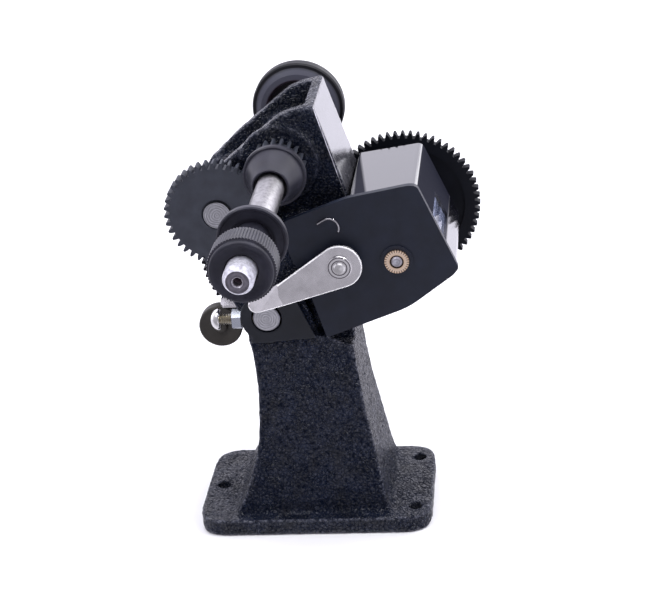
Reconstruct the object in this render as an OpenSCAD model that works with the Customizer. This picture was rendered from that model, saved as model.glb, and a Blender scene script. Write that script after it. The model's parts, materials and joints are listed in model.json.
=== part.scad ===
/* [Base] */
// Width of the base plate
base_w = 108; // [104:1:116]
// Depth of the base plate
base_d = 68; // [66:1:76]
// Thickness of the base plate
base_t = 7.7; // [6:0.1:10]
// Corner radius of the base plate
base_corner = 13; // [6:1:16]
// Radius of the three mounting holes
base_hole_r = 3; // [2:0.1:4]
// Distance of the mounting holes from the middle, across
base_hole_x = 46.5; // [44:0.5:48]
// Distance of the two right holes from the middle, front to back
base_hole_y = 22.75; // [18:0.25:24]

/* [Shafts] */
// Radius of the spindle, the lay shaft and the crank shaft
shaft_r = 6; // [5:0.1:6.2]
// Radial running clearance of every turning shaft
run = 0.05; // [0.02:0.01:0.08]
// Radial gap of parts that are pressed together
press = 0.01; // [0.005:0.005:0.02]
// Crank shaft, across
crank_x = -12.8; // [-14:0.1:-12]
// Crank shaft, height
crank_z = 108.1; // [107:0.1:109]

/* [Gears] */
// Module of every gear
gear_m = 1.125; // [1.11:0.005:1.13]
// Teeth of the large crank gear
crank_teeth = 72; // [72:1:72]
// Teeth of the pinion on the lay shaft
lay_pinion_teeth = 16; // [16:1:16]
// Teeth of the gear on the lay shaft
lay_gear_teeth = 40; // [40:1:40]
// Teeth of the spindle pinion
spindle_teeth = 20; // [20:1:20]
// Teeth of the gear that drives the counter
driver_teeth = 54; // [54:1:54]
// Teeth of the counter gear
counter_teeth = 60; // [60:1:60]
// Play taken off each tooth at the pitch circle
backlash = 0.08; // [0.05:0.01:0.12]
// Direction from the crank shaft to the lay shaft
lay_angle = 111.9; // [111:0.1:113]
// Direction from the lay shaft to the spindle
spindle_angle = 34.6; // [34:0.1:36]
// Direction from the crank shaft to the counter shaft
counter_angle = 23; // [22:0.1:24]

/* [Spindle] */
// Front end of the spindle
spindle_front = -138.3; // [-140:0.1:-134]
// Rear end of the spindle
spindle_rear = 77; // [76:0.5:78]
// Radius of the rear cone's rim
cone_r = 13.6; // [12:0.1:14]
// Radius of the front cone's rim
front_cone_r = 14.1; // [12:0.1:14.5]
// Radius of the small end of each cone
cone_small_r = 8.1; // [7.5:0.1:9]
// Front face of the rear cone's rim
rear_cone_y = -27.5; // [-28:0.1:-27]
// Front face of the front cone's rim
front_cone_y = -98.8; // [-100:0.1:-93]
// Front face of the clamp nut
nut_y = -129.5; // [-130:0.1:-125]
// Radius of the clamp nut's knurled band
nut_r = 13.4; // [12:0.1:14]
// Radius of the handwheel
wheel_r = 21.9; // [20:0.1:23]
// Front of the handwheel
wheel_y = 62; // [61:0.5:63]

/* [Counter] */
// Front face of the counter's front plate
plate_y = -28.7; // [-29:0.1:-28.5]
// Thickness of the two counter plates
plate_t = 3; // [2.5:0.1:3]
// Rear face of the counter's back plate and cover
counter_rear = 29; // [26:0.5:29.5]
// Radius of the counter input shaft
input_r = 2.5; // [2:0.1:3]
// Outer radius of the counter's bushes
input_bush_r = 5.3; // [5:0.1:6]
// Radius of the number wheels
digit_r = 16.6; // [15:0.1:16.8]
// Width taken by each number wheel
digit_pitch = 6.8; // [6:0.1:7]
// Wall of the counter's cover
cover_t = 1.2; // [1:0.1:1.5]

/* [Crank] */
// Distance from the crank shaft to the grip
crank_throw = 52; // [45:1:56]
// Front face of the crank arm
arm_y = 80; // [79:0.5:82]

/* [Hidden] */
$fn = 72;
eps = 0.01;

// Shaft centres, seen from the front: x to the right, z up
crank_c = [crank_x, crank_z];
lay_d = gear_m * (crank_teeth + lay_pinion_teeth) / 2;
spindle_d = gear_m * (lay_gear_teeth + spindle_teeth) / 2;
counter_d = gear_m * (driver_teeth + counter_teeth) / 2;
lay_c = crank_c + lay_d * [cos(lay_angle), sin(lay_angle)];
spindle_c = lay_c + spindle_d * [cos(spindle_angle), sin(spindle_angle)];
counter_c = crank_c + counter_d * [cos(counter_angle), sin(counter_angle)];

// Planes of the head and column, front to back
head_front = -11;
head_front_in = -5;
head_rear_in = 29;
head_rear = 35;
flange_y = plate_y + plate_t;
column_y = -28;
boss_y = -29.4;
boss_lift = 1.5;
crank_boss_r = 11.8;
spindle_boss_r = 17.5;
lay_boss_r = 13;
bush_r = 8;
bush_len = 8;

// Gear positions, front to back
lay_gear_y = -19.5;
lay_gear_t = 6.3;
pinion_y = -22;
pinion_t = 9.3;
driver_y = 37;
driver_t = 5.5;
counter_gear_y = 37.5;
counter_gear_t = 4.5;
crank_gear_y = 45;
crank_gear_t = 6;

// Each gear is turned so that it meshes with its neighbour at rest
function mesh_phase(rho, na, nb, dir) = dir + 180 - (360 / nb) * ((rho - dir) * na / 360 + 0.5);
lay_pinion_phase = mesh_phase(0, crank_teeth, lay_pinion_teeth, lay_angle);
spindle_phase = mesh_phase(0, lay_gear_teeth, spindle_teeth, spindle_angle);
counter_phase = mesh_phase(0, driver_teeth, counter_teeth, counter_angle);

// Involute tooth flanks
pressure = 20;
addendum = 0.97;
dedendum = 1.25;
flank_steps = 3;
function inv(a) = tan(a) * 180 / PI - a;
function half_tooth(r, rp) =
    (PI * gear_m / 4 - backlash / 2) / rp * 180 / PI
    + inv(pressure)
    - (r > rp * cos(pressure) ? inv(acos(rp * cos(pressure) / r)) : 0);
function flank_radii(rp) = [
    let (root = rp - dedendum * gear_m, base = max(rp * cos(pressure), root), tip = rp + addendum * gear_m)
    for (i = [0 : flank_steps]) i == 0 ? root : base + (tip - base) * i / flank_steps
];
function gear_points(n) = [
    let (rp = gear_m * n / 2, radii = flank_radii(rp))
    for (k = [0 : n - 1], side = [-1, 1], i = [0 : flank_steps])
        let (r = radii[side < 0 ? i : flank_steps - i], a = k * 360 / n + side * half_tooth(r, rp))
        [r * cos(a), r * sin(a)]
];

// Lays a shape drawn in x and z along +y from y0, over length t
module along(y0, t, c = [0, 0]) {
    translate([c[0], y0 + t, c[1]])
        rotate([90, 0, 0])
        linear_extrude(t)
        children();
}

// A cylinder whose axis runs front to back
module rod(c, y0, y1, r) {
    translate([c[0], y1, c[1]])
        rotate([90, 0, 0])
        cylinder(r = r, h = y1 - y0);
}

// A turned part about a front-to-back axis: points are [radius, distance to the rear]
module turned(c, y0, points) {
    translate([c[0], y0, c[1]])
        rotate([-90, 0, 0])
        rotate_extrude()
        polygon(points);
}

module gear(c, y0, t, n, phase, bore) {
    difference() {
        along(y0, t, c) rotate(phase) polygon(gear_points(n));
        rod(c, y0 - 1, y0 + t + 1, bore);
    }
}

module bushes(c, y_list, r_in, r_out, len) {
    for (y = y_list)
        difference() {
            rod(c, y, y + len, r_out);
            rod(c, y - 1, y + len + 1, r_in);
        }
}

// Rounds each corner of an outline; cuts holds how far the round reaches along the edges
function unit(v) = v / norm(v);
function rounded(pts, cuts, steps = 6) = [
    for (i = [0 : len(pts) - 1], k = [0 : steps])
        let (
            n = len(pts),
            p = pts[i],
            a = p + cuts[i] * unit(pts[(i + n - 1) % n] - p),
            b = p + cuts[i] * unit(pts[(i + 1) % n] - p),
            s = k / steps
        )
        a * (1 - s) * (1 - s) + p * 2 * s * (1 - s) + b * s * s
];
function all_cuts(pts, v) = [for (p = pts) v];

// Moves every edge of a counter-clockwise outline inwards by d
function left_of(v) = [-v[1], v[0]];
function inset(pts, d) = [
    for (i = [0 : len(pts) - 1])
        let (
            n = len(pts),
            n1 = left_of(unit(pts[i] - pts[(i + n - 1) % n])),
            n2 = left_of(unit(pts[(i + 1) % n] - pts[i]))
        )
        pts[i] + d * (n1 + n2) / (1 + n1 * n2)
];

// Outline of the casting seen from the front, counter-clockwise
column_right = [[36, 7], [34, 14], [32, 30], [30.1, 44], [27.6, 60], [25.1, 84], [24.5, 92]];
head_outline = [
    [25.4, 158.4], [13.2, 198.6], [3.5, 196.8], [-2.7, 194.2], [-28.3, 174.3], [-37.6, 165.6], [-40.2, 161.6]
];
neck_left = [[-42, 149], [-29, 120], [-22.4, 98]];
column_left = [
    [-21, 91], [-20.2, 74], [-21.3, 56], [-22.5, 46], [-25, 36], [-28.3, 26], [-31.5, 17], [-37, 7]
];
casting_front = concat(column_right, head_outline, neck_left, column_left);
// Outline of the casting seen from the right, y then z
casting_side = [
    [column_y, 7], [31, 7], [26, 20], [22, 30], [18, 45], [15, 60], [13, 76], [14, 86], [head_rear, 102],
    [head_rear, 200], [head_front, 200], [head_front, 150], [flange_y, 150], [flange_y, 98], [column_y, 98]
];

module frame_casting() {
    color([0.06, 0.065, 0.08])
    difference() {
        union() {
            difference() {
                casting_body();
                head_pocket();
            }
            bearing_bosses();
        }
        lay_gear_clearance();
        counter_recess();
        base_holes();
        shaft_bores();
    }
}

module casting_body() {
    union() {
        base_plate();
        intersection() {
            along(-40, 90) polygon(casting_front);
            translate([-60, 0, 0])
                rotate([90, 0, 90])
                linear_extrude(120)
                polygon(casting_side);
        }
        along(boss_y, 12) boss_pad();
    }
}

module bearing_bosses() {
    inner = bush_len + 0.5;
    rod(spindle_c, head_front - boss_lift, head_front + 2, spindle_boss_r);
    for (c = [spindle_c, lay_c]) {
        rod(c, head_front, head_front + inner, 11.5);
        rod(c, head_rear - inner, head_rear, 11.5);
    }
    rod(lay_c, head_front, head_front_in, lay_boss_r);
    rod(lay_c, head_rear_in, head_rear, lay_boss_r);
}

module base_plate() {
    w = base_w / 2;
    d = base_d / 2;
    corners = [[w, d], [-w, d], [-w, -d], [w, -d]];
    linear_extrude(base_t) polygon(rounded(corners, all_cuts(corners, base_corner)));
}

module boss_pad() {
    union() {
        translate(crank_c) circle(crank_boss_r);
        polygon([crank_c + [0, crank_boss_r], crank_c + [-8, -crank_boss_r], [8.3, 97.9], [1.1, 116.1]]);
    }
}

module head_pocket() {
    web = 5;
    along(head_front_in, head_rear_in - head_front_in)
        polygon([
            [-60, 147], [25.4 - web, 147], [25.4 - web, 158.4], [13.2 - web, 198.6], [6, 215], [-60, 215]
        ]);
}

// Slot between the boss pad and the counter, and the shadow gap below the counter
module counter_recess() {
    depth = 7;
    along(-40, 40 + flange_y + depth)
        polygon([
            [3.6, 116.1], [8.9, 98.2], [14, 97.6], [19, 94.5], [26.5, 91.8], [60, 91.8], [60, 109.6],
            [50.1, 108.4], [19, 101.6], [15.3, 102], [10.9, 116.5], [6.6, 127], [2.2, 127]
        ]);
}

module lay_gear_clearance() {
    rod(lay_c, -45, head_front, gear_m * (lay_gear_teeth + 4) / 2);
    rod(spindle_c, -45, head_front - boss_lift, gear_m * (spindle_teeth + 4) / 2);
}

module base_holes() {
    for (p = [[-base_hole_x, 0], [base_hole_x, base_hole_y], [base_hole_x, -base_hole_y]])
        translate([p[0], p[1], -1])
        cylinder(r = base_hole_r, h = base_t + 2);
}

friction_y = -24.5;
friction_z = 106.3;
friction_hole_r = 2.51;
boss_gap = 0.6;

module shaft_bores() {
    rod(spindle_c, -20, 40, bush_r + press);
    rod(lay_c, -20, 40, bush_r + press);
    rod(crank_c, -40, 40, shaft_r + boss_gap);
    rod(crank_c, crank_bush_front, 40, bush_r + press);
    translate([-40, friction_y, friction_z])
        rotate([0, 90, 0])
        cylinder(r = friction_hole_r, h = 40 + crank_x);
    translate([-27.5, guide_screw_y, guide_screw_z]) rotate([0, 90, 0]) cylinder(r = 1.51, h = 8);
    translate([-40, friction_y, friction_z])
        rotate([0, 90, 0])
        cylinder(r = 5.2, h = 40 + friction_nut_x + 4);
}

module spindle_bushes() {
    color("darkgoldenrod") bushes(spindle_c, [-11, 26.5], shaft_r + run, bush_r, bush_len);
}

module lay_bushes() {
    color("darkgoldenrod") bushes(lay_c, [-11, 26.5], shaft_r + run, bush_r, bush_len);
}

crank_bush_front = -18;
module crank_bushes() {
    color("darkgoldenrod") bushes(crank_c, [crank_bush_front, 26.5], shaft_r + run, bush_r, bush_len);
}

module spindle() {
    centre_hole_r = 1.7;
    color("lightgray")
    turned(spindle_c, spindle_front, [
        [0, 4.6], [centre_hole_r, 3.6], [centre_hole_r, 0.5], [centre_hole_r + 0.5, 0], [shaft_r - 1.5, 0],
        [shaft_r - 1, 1.2], [shaft_r, 2.4],
        [shaft_r, spindle_rear - spindle_front - 1], [shaft_r - 1, spindle_rear - spindle_front],
        [0, spindle_rear - spindle_front]
    ]);
}

module spindle_pinion() {
    color([0.1, 0.1, 0.11])
    gear(spindle_c, pinion_y, pinion_t, spindle_teeth, spindle_phase, shaft_r + press);
}

cone_len = 16.6;
rim_t = 3.2;
module cone_profile(flip, bore, rim_r) {
    // recess, rim, taper and the recess of the small end; flip puts the small end at the front
    p = [
        [bore, 2], [8.8, 2], [9.1, 0.7], [rim_r - 1.5, 0.5], [rim_r - 1.2, 0], [rim_r - 0.5, 0],
        [rim_r, 0.5], [rim_r, rim_t - 0.5], [rim_r - 0.5, rim_t], [rim_r - 1.2, rim_t],
        [cone_small_r, cone_len - 0.4], [cone_small_r - 0.3, cone_len], [cone_small_r - 0.9, cone_len],
        [cone_small_r - 0.9, cone_len - 4], [bore, cone_len - 4]
    ];
    polygon([for (v = p) flip ? [v[0], cone_len - v[1]] : v]);
}

module rear_cone() {
    color([0.09, 0.09, 0.1])
    translate([spindle_c[0], rear_cone_y - cone_len + rim_t, spindle_c[1]])
        rotate([-90, 0, 0])
        rotate_extrude()
        cone_profile(true, shaft_r + press, cone_r);
}

module front_cone() {
    color([0.09, 0.09, 0.1])
    translate([spindle_c[0], front_cone_y, spindle_c[1]])
        rotate([-90, 0, 0])
        rotate_extrude()
        cone_profile(false, shaft_r + run, front_cone_r);
}

module clamp_nut() {
    ring_r = nut_r - 1.1;
    hub_r = 7.4;
    nut_len = front_cone_y + 1.9 - nut_y;
    color([0.09, 0.09, 0.1])
    turned(spindle_c, nut_y, [
        [shaft_r + run, 3], [shaft_r + 0.5, 3], [shaft_r + 0.6, 1.7], [shaft_r + 2.2, 1.9],
        [ring_r - 2.6, 1.2], [ring_r - 1.5, 0.2], [ring_r - 1, 0], [ring_r - 0.3, 0.3],
        [ring_r, 0.9], [ring_r, 2],
        [nut_r, 2.3], [nut_r, 12.7], [nut_r - 0.7, 13.4], [hub_r + 1.4, 13.6], [hub_r, 14.6],
        [hub_r, nut_len], [shaft_r + run, nut_len]
    ]);
}

module handwheel() {
    color([0.07, 0.07, 0.08])
    turned(spindle_c, wheel_y, [
        [shaft_r + press, 1], [10, 1], [10.8, 3], [13.6, 2.8], [14.4, 0.4], [15, 0], [17.4, 0.8], [19.4, 2.6],
        [20, 3.2], [21.3, 3.5], [wheel_r, 4.6], [wheel_r, 9.5], [21, 11.6], [19.4, 12], [17.8, 10.4],
        [11, 9.4], [10, 11], [shaft_r + press, 11]
    ]);
}

module handwheel_nut() {
    color("silver")
    difference() {
        translate([spindle_c[0], wheel_y + 14.8, spindle_c[1]])
            rotate([90, 0, 0])
            cylinder(r = 10, h = 3.7, $fn = 6);
        rod(spindle_c, wheel_y, wheel_y + 20, shaft_r + press);
    }
}

module lay_shaft() {
    color("lightgray") rod(lay_c, -20.6, 53, shaft_r);
}

module lay_gear() {
    color([0.1, 0.1, 0.11])
    difference() {
        gear(lay_c, lay_gear_y, lay_gear_t, lay_gear_teeth, 0, shaft_r + press);
        rod(lay_c, lay_gear_y - 1, lay_gear_y + 1, shaft_r + 0.9);
    }
}

module lay_pinion() {
    color([0.45, 0.45, 0.47])
    gear(lay_c, crank_gear_y - 0.5, crank_gear_t + 1, lay_pinion_teeth, lay_pinion_phase, shaft_r + press);
}

module crank_shaft() {
    len = arm_y + 4 - boss_y + 0.4;
    color("lightgray")
    difference() {
        turned(crank_c, boss_y - 0.4, [
            [0, 0], [shaft_r - 0.35, 0], [shaft_r, 0.35], [shaft_r, len], [0, len]
        ]);
        rod(crank_c, arm_y - 8, arm_y + 6, 2);
    }
}

module crank_gear() {
    web_r = gear_m * crank_teeth / 2 - 6;
    color([0.1, 0.1, 0.11])
    difference() {
        gear(crank_c, crank_gear_y, crank_gear_t, crank_teeth, 0, shaft_r + press);
        face_recess(crank_c, crank_gear_y + crank_gear_t - 1.5, 2.5, 14, web_r);
    }
}

module face_recess(c, y0, t, r_in, r_out) {
    difference() {
        rod(c, y0, y0 + t, r_out);
        rod(c, y0 - 1, y0 + t + 1, r_in);
    }
}

module counter_driver() {
    color([0.1, 0.1, 0.11])
    union() {
        gear(crank_c, driver_y, driver_t, driver_teeth, 0, shaft_r + press);
        difference() {
            rod(crank_c, driver_y + driver_t - eps, crank_gear_y, 12);
            rod(crank_c, driver_y, crank_gear_y + 1, shaft_r + press);
        }
    }
}

module crank_arm() {
    hub_r = 10;
    end_r = 6.5;
    arm_t = 4;
    color([0.72, 0.71, 0.69])
    difference() {
        union() {
            rod(crank_c, arm_y, arm_y + arm_t, hub_r);
            rod(crank_c - [0, crank_throw], arm_y, arm_y + arm_t, end_r);
            along(arm_y, arm_t, crank_c)
                polygon([[-hub_r + 1, 0], [-end_r, -crank_throw], [end_r, -crank_throw], [hub_r - 1, 0]]);
        }
        rod(crank_c, arm_y - 1, arm_y + arm_t + 1, shaft_r + press);
        rod(crank_c - [0, crank_throw], arm_y - 1, arm_y + arm_t + 1, 3 + press);
    }
}

module crank_screw() {
    color("silver")
    turned(crank_c, arm_y - 6, [
        [0, 0], [1.99, 0], [1.99, 10.01], [8.4, 10.01], [8.4, 11.4], [6, 13], [0, 13.6]
    ]);
}

grip_c = [crank_x, crank_z - crank_throw];
grip_len = 34;
module grip_pin() {
    color("silver")
    turned(grip_c, arm_y - 1.8, [
        [0, 0], [4.5, 0], [5, 0.6], [5, 1.79], [3, 1.79], [3, 6.6], [3, grip_len + 6.5],
        [5, grip_len + 6.5], [4, grip_len + 8.3], [0, grip_len + 8.8]
    ]);
}

module crank_grip() {
    color([0.08, 0.08, 0.08])
    turned(grip_c, arm_y + 4.4, [
        [3.06, 0], [7.4, 0], [8.2, 1.2], [8, 6], [6.8, 14], [7.4, 22], [8.6, 28], [8, 32.4], [6, grip_len],
        [3.06, grip_len]
    ]);
}

friction_head_x = -38.6;
friction_nut_x = -28.6;
module friction_screw() {
    shank_end = crank_x - shaft_r - 2.4 - friction_head_x;
    color([0.55, 0.5, 0.42])
    difference() {
        translate([friction_head_x, friction_y, friction_z])
            rotate([0, 90, 0])
            rotate_extrude()
            polygon([
                [0, 0], [2.4, 0.4], [4, 1.6], [4.75, 3.2], [4.7, 4], [2.5, 4.2], [2.5, shank_end],
                [0, shank_end]
            ]);
        translate([friction_head_x - 1, friction_y - 5, friction_z - 0.6]) cube([2.3, 10, 1.2]);
    }
}

module friction_lock_nut() {
    color([0.8, 0.82, 0.84])
    difference() {
        translate([friction_nut_x, friction_y, friction_z])
            rotate([0, 90, 0])
            cylinder(r = 4.8, h = 4, $fn = 6);
        translate([friction_nut_x - 1, friction_y, friction_z])
            rotate([0, 90, 0])
            cylinder(r = friction_hole_r, h = 7);
    }
}

module friction_pad() {
    color("peru")
    difference() {
        translate([crank_x - shaft_r - 2.4, friction_y, friction_z])
            rotate([0, 90, 0])
            cylinder(r = 2.45, h = 3);
        rod(crank_c, -40, 0, shaft_r + run);
    }
}

// Counter box outline, counter-clockwise from the lower left
box_outline = [[27.2, 102.7], [50.1, 111], [72, 127.2], [71.9, 130.5], [56.7, 166.6], [27.2, 162.8]];
box_cuts = [1, 3, 1.5, 1.2, 2.5, 1];
plate_outline = [
    [13.1, 97.6], [50.1, 111], [70.3, 125.6], [72.6, 128.6], [71.2, 132], [56.7, 166.8], [53, 167.2],
    [27, 162.8], [-1.4, 153], [-0.5, 138.6], [3.5, 129.5], [8.1, 116.5]
];
plate_cuts = [1.5, 5, 1.5, 1.2, 1.5, 1.8, 1.5, 4, 2, 4, 5, 5];
lever_c = [21.9, 133.5];
spacer_points = [[32.2, 108.5], [66.3, 129.4], [53, 161.8], [30.9, 158.8]];
spacer_r = 2;
cover_inset = 0.4;
screw_r = 1.2;

module counter_front_plate() {
    color([0.1, 0.11, 0.15])
    difference() {
        union() {
            along(plate_y, plate_t) polygon(rounded(plate_outline, plate_cuts));
            rod(counter_c, plate_y - 0.6, plate_y + 1, input_bush_r + 1.8);
        }
        rod(counter_c, plate_y - 2, plate_y + plate_t + 1, input_bush_r + press);
        rod(lever_c, plate_y - 2, plate_y + plate_t + 1, 1.51);
    }
}

module counter_back_plate() {
    color([0.1, 0.11, 0.15])
    difference() {
        along(counter_rear - plate_t, plate_t) polygon(inset(box_outline, cover_inset + cover_t + press));
        rod(counter_c, counter_rear - plate_t - 1, counter_rear + 1, input_bush_r + press);
        for (p = spacer_points) rod(p, counter_rear - plate_t - 1, counter_rear + 1, screw_r + press);
    }
}

window_s0 = 16;
window_s1 = 28;
window_y0 = -23.6;
window_y1 = 4.2;
// Puts x along the window face from its top corner, and z out of the face
module on_window_face() {
    a = box_outline[4];
    b = box_outline[3];
    translate([a[0], 0, a[1]])
        rotate([0, atan2(a[1] - b[1], b[0] - a[0]), 0])
        children();
}

module counter_cover() {
    y0 = plate_y + plate_t + eps;
    y1 = counter_rear;
    color([0.04, 0.04, 0.05])
    difference() {
        along(y0, y1 - y0) polygon(rounded(inset(box_outline, cover_inset), box_cuts));
        along(y0 - 1, y1 - y0 + 2) polygon(inset(box_outline, cover_inset + cover_t));
        on_window_face()
            translate([window_s0, window_y0, -4])
            cube([window_s1 - window_s0, window_y1 - window_y0, 8]);
    }
}

module counter_window() {
    lap = 1.2;
    color([0.7, 0.75, 0.8, 0.35])
    on_window_face()
        translate([window_s0 - lap, window_y0 - lap, -cover_inset - cover_t - 1.02])
        cube([window_s1 - window_s0 + 2 * lap, window_y1 - window_y0 + 2 * lap, 1]);
}

module counter_spacers() {
    y0 = plate_y + plate_t + eps;
    y1 = counter_rear - plate_t - eps;
    color("silver")
    for (p = spacer_points)
        difference() {
            rod(p, y0, y1, spacer_r);
            rod(p, y1 - 8, y1 + 1, screw_r + press);
        }
}

module counter_screws() {
    color("silver")
    for (p = spacer_points)
        turned(p, counter_rear - plate_t - 6, [
            [0, 0], [screw_r, 0], [screw_r, 9.01], [2.4, 9.01], [2.2, 10.2], [0, 10.7]
        ]);
}

module counter_front_bush() {
    color("goldenrod") bushes(counter_c, [plate_y - 1.6], input_r + run, input_bush_r, 5.4);
}

module counter_rear_bush() {
    color("goldenrod") bushes(counter_c, [counter_rear - plate_t - 0.8], input_r + run, input_bush_r, 5.4);
}

module counter_input_shaft() {
    len = counter_gear_y + counter_gear_t + 2 - plate_y + 2;
    color("lightgray")
    turned(counter_c, plate_y - 2, [
        [0, 0.3], [1.7, 0], [input_r, 0.6], [input_r, len - 0.6], [1.9, len], [0, len]
    ]);
}

module counter_gear() {
    web_r = gear_m * counter_teeth / 2 - 6;
    color([0.1, 0.1, 0.11])
    difference() {
        gear(counter_c, counter_gear_y, counter_gear_t, counter_teeth, counter_phase, input_r + press);
        face_recess(counter_c, counter_gear_y - 1, 2.2, 11, web_r);
        face_recess(counter_c, counter_gear_y + counter_gear_t - 1.2, 2.2, 11, web_r);
    }
}

module counter_gear_hub() {
    y0 = counter_rear + 2.2;
    color("darkgoldenrod") bushes(counter_c, [y0], input_r + press, 8, counter_gear_y - y0 - eps);
}

// Number wheels sit side by side, the units at the rear
digit_y = 4 - digit_pitch;
module digit_wheel(place, bore) {
    y = digit_y - place * digit_pitch;
    groove = 1.1;
    t = digit_pitch - 0.5;
    color("white")
    difference() {
        turned(counter_c, y, [
            [bore, 0], [digit_r - 0.3, 0], [digit_r, 0.3], [digit_r, t - groove], [digit_r - 1, t - groove],
            [digit_r - 1, t], [bore, t]
        ]);
        for (k = [0 : 4])
            rod(counter_c + 9 * [cos(72 * k), sin(72 * k)], y - 1, y + t + 1, 2.6);
    }
}
module units_wheel() {
    digit_wheel(0, input_r + press);
}
module tens_wheel() {
    digit_wheel(1, input_r + run);
}
module hundreds_wheel() {
    digit_wheel(2, input_r + run);
}
module thousands_wheel() {
    digit_wheel(3, input_r + run);
}

transfer_c = counter_c + 23 * [cos(118), sin(118)];
module transfer_shaft() {
    color("silver") rod(transfer_c, plate_y + plate_t + 0.02, counter_rear - plate_t - 0.02, 1.3);
}

module transfer_pinions() {
    color("goldenrod")
    for (place = [0 : 2])
        let (y = digit_y - place * digit_pitch - 2.6)
        difference() {
            union() {
                rod(transfer_c, y, y + 5, 3.2);
                for (k = [0 : 7])
                    translate([transfer_c[0], y, transfer_c[1]])
                    rotate([0, 45 * k, 0])
                    translate([2, 0, -0.7])
                    cube([2.6, 5, 1.4]);
            }
            rod(transfer_c, y - 1, y + 6, 1.3 + press);
        }
}

lever_y = -34.6;
lever_t = 1.8;
module reset_lever() {
    head_r = 9.7;
    color([0.76, 0.75, 0.73])
    difference() {
        union() {
            along(lever_y, lever_t) lever_outline(head_r);
            lever_tab();
        }
        rod(lever_c, lever_y - 2, lever_y + lever_t + 2, 3 + run);
    }
}

module lever_outline(head_r) {
    union() {
        translate(lever_c) circle(head_r);
        polygon([
            lever_c + [-3.1, 9.2], lever_c + [-17, -0.8], [-4.2, 125.1], [-7, 116.4], [3.4, 119.1],
            lever_c + [4.2, -8.7]
        ]);
    }
}

// The lever's end is bent forward a little and rounded off
module lever_tab() {
    tab_r = 3.9;
    translate([-5.5, lever_y + lever_t, 120.7])
        rotate([0, 0, -12])
        translate([5.5, 0, -120.7])
        rotate([90, 0, 0])
        linear_extrude(lever_t)
        union() {
            translate([-15, 118]) circle(tab_r);
            polygon([[-15.3, 121.9], [-4, 125.5], [-6.4, 116.3], [-14.6, 114.1]]);
        }
}

module reset_rivet() {
    color("silver")
    turned(lever_c, lever_y - 2.4, [
        [0, 0], [2, 0.2], [2.6, 0.9], [2.6, 1.3], [1.5, 1.3], [1.5, 8.6], [0, 8.6]
    ]);
}

module reset_collar() {
    color([0.7, 0.69, 0.67])
    difference() {
        union() {
            rod(lever_c, lever_y - 1, lever_y - run, 5.4);
            rod(lever_c, lever_y - run - eps, plate_y - 0.02, 3);
            rod(lever_c, lever_y + lever_t + run, plate_y - 0.02, 5);
        }
        rod(lever_c, lever_y - 2, plate_y + 1, 1.5 + press);
    }
}

module spring_wire() {
    loop_c = [18.1, 149.5];
    loop_r = 4.3;
    wire_r = 0.5;
    wire_y = plate_y - wire_r - 0.02;
    color([0.13, 0.12, 0.12])
    translate([loop_c[0], wire_y, loop_c[1]])
        rotate([90, 25, 0])
        rotate_extrude(angle = 160)
        translate([loop_r, 0])
        circle(wire_r, $fn = 16);
}

// Angle bracket on the left of the neck with a roller on a pin below it
guide_c = [-37.9, 94.9];
roller_r = 9.95;
guide_top = 105;
guide_left = -34.6;
guide_y0 = -9.5;
guide_y1 = 1.2;
guide_t = 1.1;
guide_screw_y = -4;
guide_screw_z = 112;
guide_side_x = -27.6;
module guide_bracket() {
    color([0.76, 0.75, 0.73])
    difference() {
        union() {
            translate([guide_left, guide_y0, guide_top])
                cube([guide_side_x - guide_left, guide_y1 - guide_y0, guide_t]);
            translate([guide_left, (guide_y0 + guide_y1) / 2, guide_top])
                scale([0.5, 1, 1])
                cylinder(r = (guide_y1 - guide_y0) / 2, h = guide_t);
            translate([guide_side_x - guide_t, guide_y0, guide_top])
                cube([guide_t, guide_y1 - guide_y0, 10.2]);
            along(guide_y1 - guide_t, guide_t)
                polygon([
                    guide_c - [4, 0], guide_c + [4, 0], [-31, guide_top + 1], [guide_left - 2, guide_top + 1]
                ]);
            rod(guide_c, guide_y1 - guide_t, guide_y1, 4);
        }
        rod(guide_c, -10, 10, 2 + press);
        translate([guide_side_x - 3, guide_screw_y, guide_screw_z])
            rotate([0, 90, 0])
            cylinder(r = 1.51, h = 6);
    }
}

module guide_roller() {
    color([0.16, 0.14, 0.13])
    turned(guide_c, -8, [
        [2 + run, 1.4], [roller_r - 0.6, 0], [roller_r, 0.6], [roller_r, 5.4], [roller_r - 0.6, 6],
        [2 + run, 6]
    ]);
}

module guide_pin() {
    color([0.2, 0.19, 0.18])
    turned(guide_c, -8.4, [[0, 0], [2.6, 0.3], [3.2, 1], [3.2, 1.35], [2, 1.35], [2, 10.4], [0, 10.4]]);
}

module guide_screw() {
    color("silver")
    translate([guide_side_x - guide_t - 1.6, guide_screw_y, guide_screw_z])
        rotate([0, 90, 0])
        rotate_extrude()
        polygon([[0, 0], [1.8, 0.3], [2.8, 1.3], [2.8, 1.59], [1.5, 1.59], [1.5, 9], [0, 9]]);
}

frame_casting();
spindle_bushes();
lay_bushes();
crank_bushes();
spindle();
spindle_pinion();
rear_cone();
front_cone();
clamp_nut();
handwheel();
handwheel_nut();
lay_shaft();
lay_gear();
lay_pinion();
crank_shaft();
crank_gear();
counter_driver();
crank_arm();
crank_screw();
grip_pin();
crank_grip();
friction_screw();
friction_lock_nut();
friction_pad();
counter_front_plate();
counter_back_plate();
counter_cover();
counter_window();
counter_spacers();
counter_screws();
counter_front_bush();
counter_rear_bush();
counter_input_shaft();
counter_gear();
counter_gear_hub();
units_wheel();
tens_wheel();
hundreds_wheel();
thousands_wheel();
transfer_shaft();
transfer_pinions();
reset_lever();
reset_rivet();
reset_collar();
spring_wire();
guide_bracket();
guide_roller();
guide_pin();
guide_screw();
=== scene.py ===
"""Looks of a hand-cranked coil winding machine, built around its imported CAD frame. Lengths are in metres."""

import json
import math

import bmesh
import bpy
from mathutils import Matrix, Vector


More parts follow.
